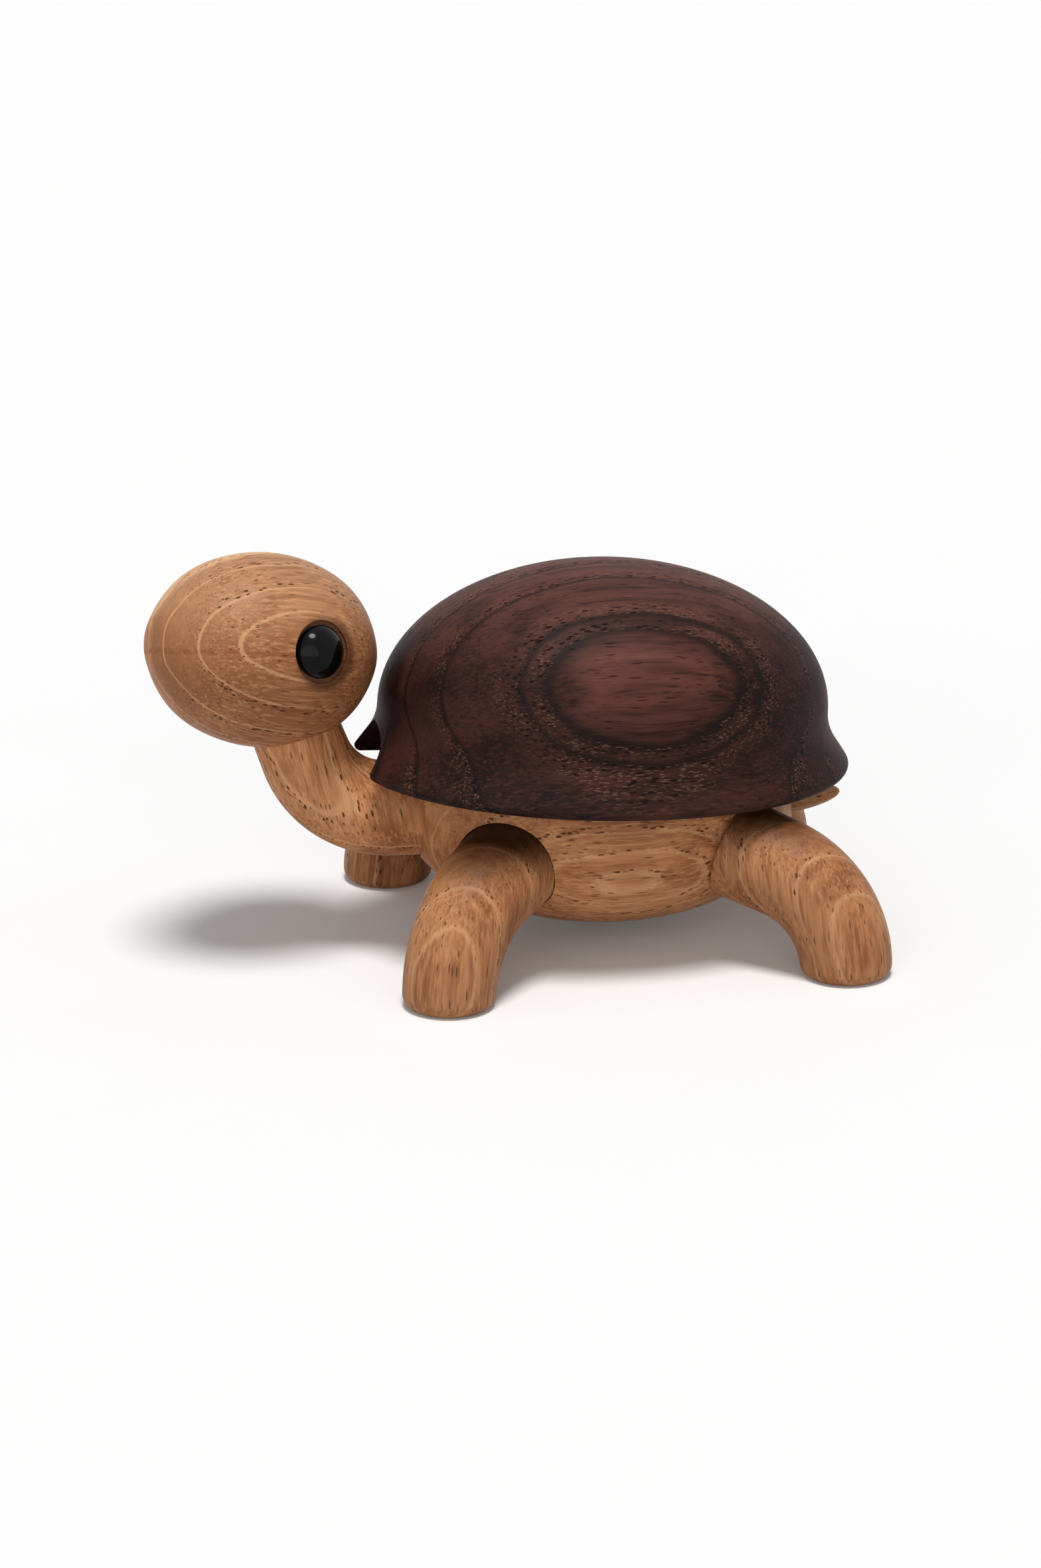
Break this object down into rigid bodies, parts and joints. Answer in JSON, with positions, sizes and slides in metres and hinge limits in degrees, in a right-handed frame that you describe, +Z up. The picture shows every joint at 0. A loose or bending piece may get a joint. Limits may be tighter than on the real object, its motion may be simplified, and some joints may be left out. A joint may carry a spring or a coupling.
{
  "type": "turtle figurine",
  "caption": "Wooden turtle ornament: dark domed carapace on an oak body, bent legs and neck, egg-shaped head that turns on a dowel, bead eyes.",
  "frame": {"origin": "on the floor, under the middle of the figurine's box", "axes": "+Z up, the turtle faces -Y, its left side is +X"},
  "size_m": [0.0648, 0.0996, 0.0569],
  "materials": {
    "smoked_wood": "oiled",
    "oak": "oiled",
    "dowel_wood": "raw",
    "eye_black": "gloss"
  },
  "bodies": {
    "torso": {"carapace": "smoked_wood", "body": "oak", "neck": "oak", "tail": "oak", "tail_dowel": "dowel_wood", "neck_dowel": "dowel_wood", "head_dowel": "dowel_wood", "carapace_dowel_front": "dowel_wood", "carapace_dowel_rear": "dowel_wood", "leg_front_left": "oak", "leg_front_right": "oak", "leg_rear_left": "oak", "leg_rear_right": "oak", "leg_dowel_front_left": "dowel_wood", "leg_dowel_front_right": "dowel_wood", "leg_dowel_rear_left": "dowel_wood", "leg_dowel_rear_right": "dowel_wood"},
    "head": {"head": "oak", "eye_left": "eye_black", "eye_right": "eye_black"}
  },
  "joints": [
    {"name": "head_swivel", "type": "hinge", "parent": "torso", "child": "head", "pos_m": [0, -0.02956, 0.03346], "axis": [0, -0.342, 0.9397], "range_deg": [-104, 56]}
  ]
}
